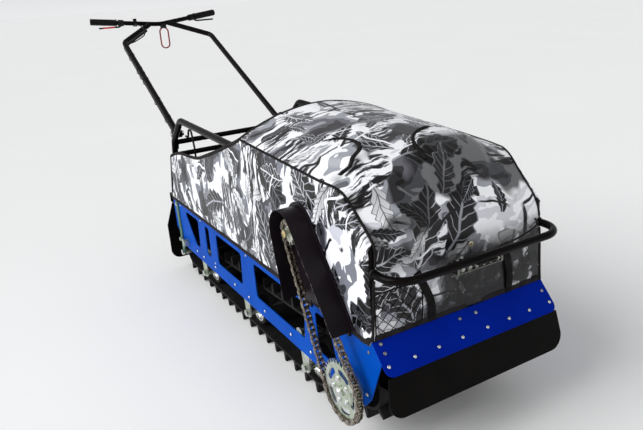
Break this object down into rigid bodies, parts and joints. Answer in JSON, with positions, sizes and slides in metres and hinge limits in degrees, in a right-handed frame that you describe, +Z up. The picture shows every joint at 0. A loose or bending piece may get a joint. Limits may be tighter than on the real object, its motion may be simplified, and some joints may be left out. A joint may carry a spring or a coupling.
{
  "type": "motorized snow tow",
  "caption": "Low tracked snow tow with a blue sheet frame, lugged rubber track, side chain drive, fabric cover over engine and load space, front bumper lamp and a folding rear handle.",
  "frame": {"origin": "on the ground under the middle of the overall length and width", "axes": "+X forward, +Y to the machine's left, +Z up"},
  "size_m": [2.5034, 0.6826, 1.0984],
  "materials": {
    "blue_paint": "gloss powder coat",
    "black_paint": "satin powder coat",
    "zinc_steel": "zinc plated",
    "chain_steel": "oiled steel",
    "engine_paint": "cast",
    "track_rubber": "moulded",
    "tyre_rubber": "moulded",
    "flap_rubber": "sheet",
    "grip_rubber": "moulded",
    "camo_fabric": "coated cloth, winter camouflage",
    "strap_fabric": "webbing",
    "black_plastic": "moulded",
    "red_lever": "moulded",
    "red_ring": "anodised",
    "lamp_glass": "clear"
  },
  "bodies": {
    "chassis": {"side_panel_right": "blue_paint", "side_panel_left": "blue_paint", "front_apron": "blue_paint", "frame_rail_right": "black_paint", "frame_rail_left": "black_paint", "rear_cross_tubes": "black_paint", "bumper": "black_paint", "pivot_brackets": "black_paint", "rear_crossmember": "black_paint", "tow_hitch": "black_paint", "deck": "black_paint", "chain_guard": "black_paint", "wheel_rims": "zinc_steel", "wheel_axles": "zinc_steel", "wheel_hangers": "zinc_steel", "rear_idler": "zinc_steel", "tensioner_strips": "zinc_steel", "tension_bolts": "zinc_steel", "drive_bearings": "zinc_steel", "drive_shaft": "zinc_steel", "drive_sprocket": "zinc_steel", "small_sprocket": "zinc_steel", "pivot_bolts": "zinc_steel", "drive_chain": "chain_steel", "engine": "engine_paint", "track": "track_rubber", "wheel_tyres": "tyre_rubber", "front_flap": "flap_rubber", "rear_flap": "flap_rubber", "cover_side_right": "camo_fabric", "cover_side_left": "camo_fabric", "cover_top": "camo_fabric", "cover_front": "camo_fabric", "cover_straps": "strap_fabric", "light_bar": "black_plastic", "control_cable": "black_plastic", "light_lenses": "lamp_glass"},
    "handle": {"handle_arm_right": "black_paint", "handle_arm_left": "black_paint", "handlebar": "black_paint", "grips": "grip_rubber", "brake_lever": "black_plastic", "throttle_lever": "red_lever", "stop_switch": "black_plastic", "tether_switch": "black_plastic", "tether_ring": "red_ring", "cable_bundle": "black_plastic"}
  },
  "joints": [
    {"name": "handle_fold", "type": "hinge", "parent": "chassis", "child": "handle", "pos_m": [-0.32726, 0, 0.625], "axis": [0, 1, 0], "range_deg": [0, 138]}
  ]
}
